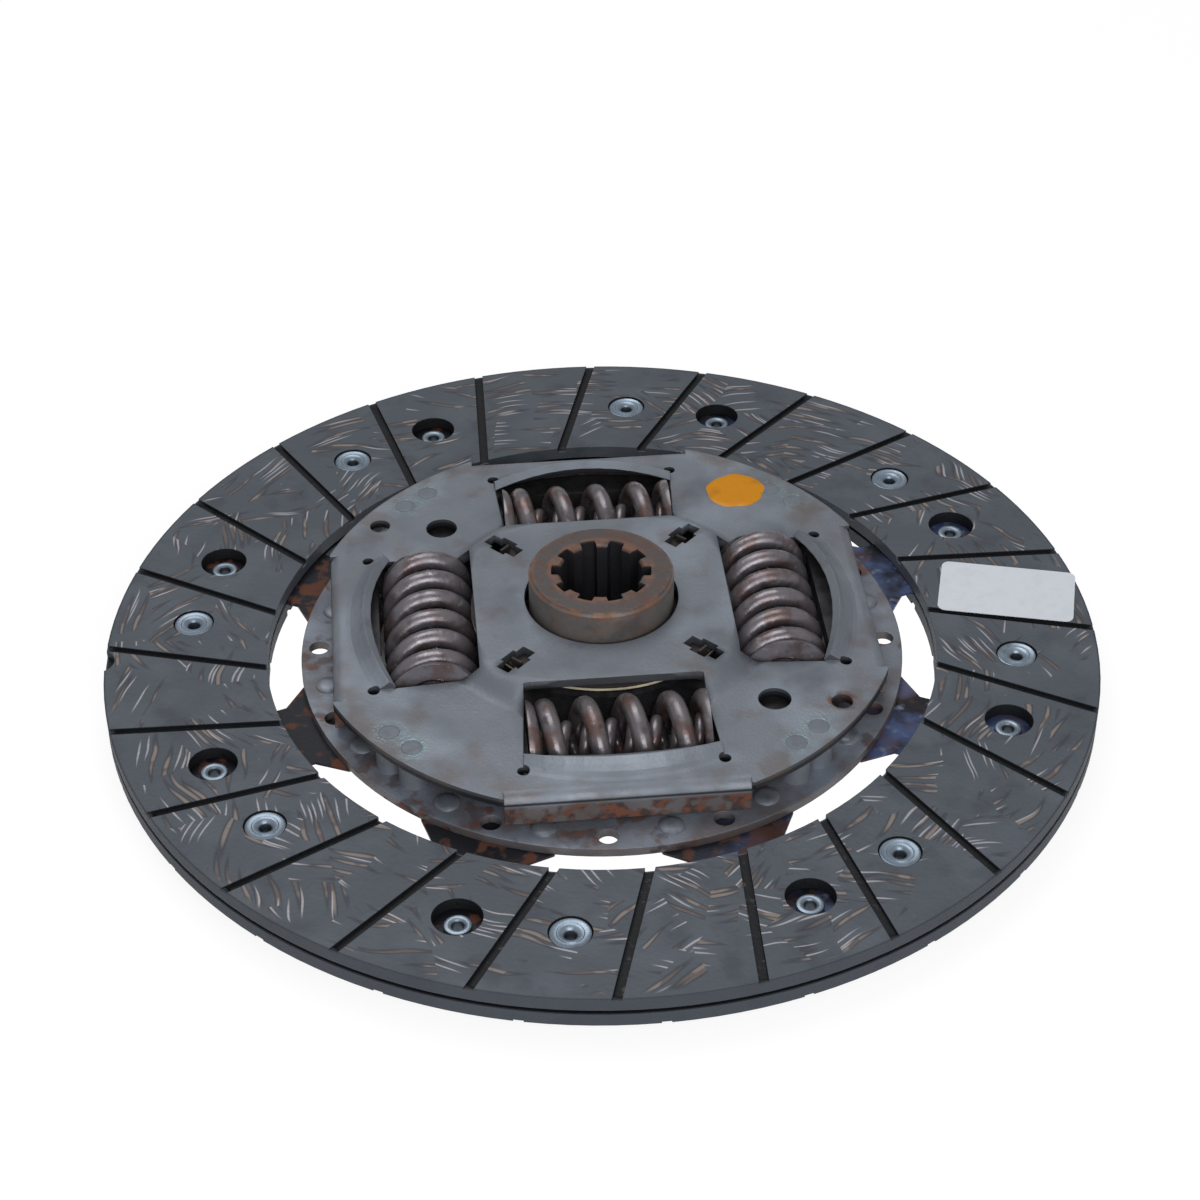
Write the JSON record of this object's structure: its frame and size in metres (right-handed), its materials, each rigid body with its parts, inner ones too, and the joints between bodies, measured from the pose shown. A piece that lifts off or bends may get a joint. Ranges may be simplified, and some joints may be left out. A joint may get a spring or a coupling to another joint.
{
  "type": "clutch disc",
  "caption": "Sprung clutch disc: grooved friction linings on waved cushion segments, riveted round two dished plates that hold coil damper springs and a splined hub.",
  "frame": {"origin": "on the shaft axis, at the hub's lower end, which is the lowest point", "axes": "+Z along the shaft axis towards the cover plate and the hub's longer nose; +X and +Y lie in the plane of the disc"},
  "size_m": [0.24, 0.24, 0.0329],
  "materials": {
    "lining": "matt moulded friction resin with fibre streaks",
    "zinc_plate": "zinc-plated",
    "rivet_steel": "satin",
    "plate_steel": "shot-blasted, dull",
    "hub_steel": "machined, with light rust",
    "flange_steel": "satin",
    "bush_plastic": "moulded",
    "washer_fibre": "pressed fibre",
    "cream_plastic": "moulded",
    "washer_steel": "phosphated",
    "spring_strip": "satin",
    "blued_steel": "temper-blued",
    "spring_wire": "drawn wire with light rust"
  },
  "bodies": {
    "disc": {"centring_bush": "bush_plastic", "cover_plate": "plate_steel", "cushion_segment_1": "blued_steel", "cushion_segment_2": "blued_steel", "cushion_segment_3": "blued_steel", "cushion_segment_4": "blued_steel", "cushion_segment_5": "blued_steel", "cushion_segment_6": "blued_steel", "cushion_segment_7": "blued_steel", "cushion_segment_8": "blued_steel", "friction_lining_bottom": "lining", "friction_lining_top": "lining", "friction_ring": "cream_plastic", "friction_washer": "washer_fibre", "lining_rivets_bottom": "zinc_plate", "lining_rivets_top": "zinc_plate", "lower_coned_spring": "spring_strip", "retainer_plate": "plate_steel", "segment_rivets": "rivet_steel", "spacer_pins": "rivet_steel", "tabbed_washer": "washer_steel", "upper_coned_spring": "spring_strip"},
    "hub": {"hub": "hub_steel", "hub_flange": "flange_steel"},
    "damper_springs": {"damper_spring_outer_1": "spring_wire", "damper_spring_outer_2": "spring_wire", "damper_spring_outer_3": "spring_wire", "damper_spring_outer_4": "spring_wire", "damper_spring_inner_1": "spring_wire", "damper_spring_inner_2": "spring_wire", "damper_spring_inner_3": "spring_wire", "damper_spring_inner_4": "spring_wire"}
  },
  "joints": [
    {"name": "hub_twist", "type": "hinge", "parent": "disc", "child": "hub", "pos_m": [0, 0, 0.0146], "axis": [0, 0, 1], "range_deg": [-6, 6], "stiffness_Nm_per_rad": 50, "deforming": ["damper_spring_outer_1", "damper_spring_outer_2", "damper_spring_outer_3", "damper_spring_outer_4", "damper_spring_inner_1", "damper_spring_inner_2", "damper_spring_inner_3", "damper_spring_inner_4"]},
    {"name": "spring_follow", "type": "hinge", "parent": "disc", "child": "damper_springs", "pos_m": [0, 0, 0.0146], "axis": [0, 0, 1], "range_deg": [-3, 3]}
  ],
  "couplings": [
    {"joint": "spring_follow", "follows": "hub_twist", "ratio": 0.5}
  ]
}
